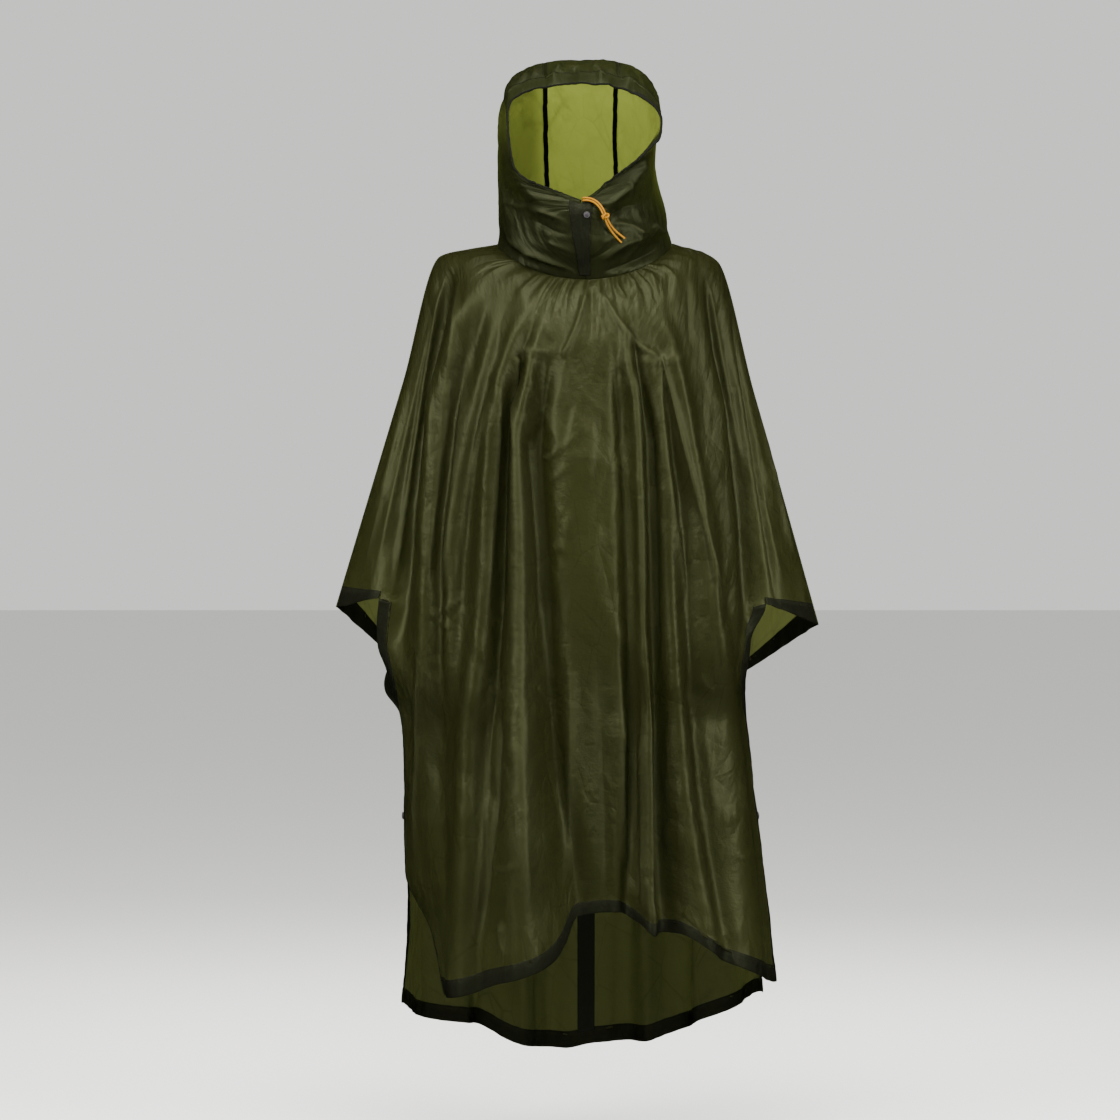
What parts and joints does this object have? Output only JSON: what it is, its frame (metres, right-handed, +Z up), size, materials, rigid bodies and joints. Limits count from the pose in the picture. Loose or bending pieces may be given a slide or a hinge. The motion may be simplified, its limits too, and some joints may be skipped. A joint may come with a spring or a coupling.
{
  "type": "rain poncho",
  "caption": "Hooded rain poncho of thin coated nylon in its worn shape, hollow, longer behind, with open sleeves, press-studded sides and a drawcord.",
  "frame": {"origin": "the middle of the neck at shoulder level, where the wearer's shoulders carry the poncho", "axes": "+Z up, -Y out of the front, +X towards the side on the right in a front view"},
  "size_m": [0.7816, 0.5659, 1.6357],
  "materials": {
    "coated_nylon": "thin plain-woven nylon, coated, half translucent, semi-gloss",
    "turned_hem": "doubled nylon hem, matt, darker",
    "binding": "dark binding and channel, matt",
    "seam_tape": "dark woven tape, fuzzy and matt",
    "stud": "dull grey press stud",
    "cord": "orange-yellow braided cord"
  },
  "bodies": {
    "root": {"front_panel": "coated_nylon", "back_panel": "coated_nylon", "hood_left": "coated_nylon", "hood_centre": "coated_nylon", "hood_right": "coated_nylon", "hood_channel": "binding", "hood_tape_left": "seam_tape", "hood_tape_right": "seam_tape", "back_tape": "seam_tape", "hood_placket": "binding", "front_hem": "turned_hem", "back_hem": "turned_hem", "front_sleeve_hem_left": "turned_hem", "front_sleeve_hem_right": "turned_hem", "back_sleeve_hem_left": "turned_hem", "back_sleeve_hem_right": "turned_hem", "front_side_hem_left": "turned_hem", "front_side_hem_right": "turned_hem", "back_side_hem_left": "turned_hem", "back_side_hem_right": "turned_hem", "placket_stud": "stud", "side_stud_left": "stud", "side_stud_right": "stud", "drawcord_left": "cord", "drawcord_right": "cord", "drawcord_knot": "cord"}
  },
  "joints": []
}
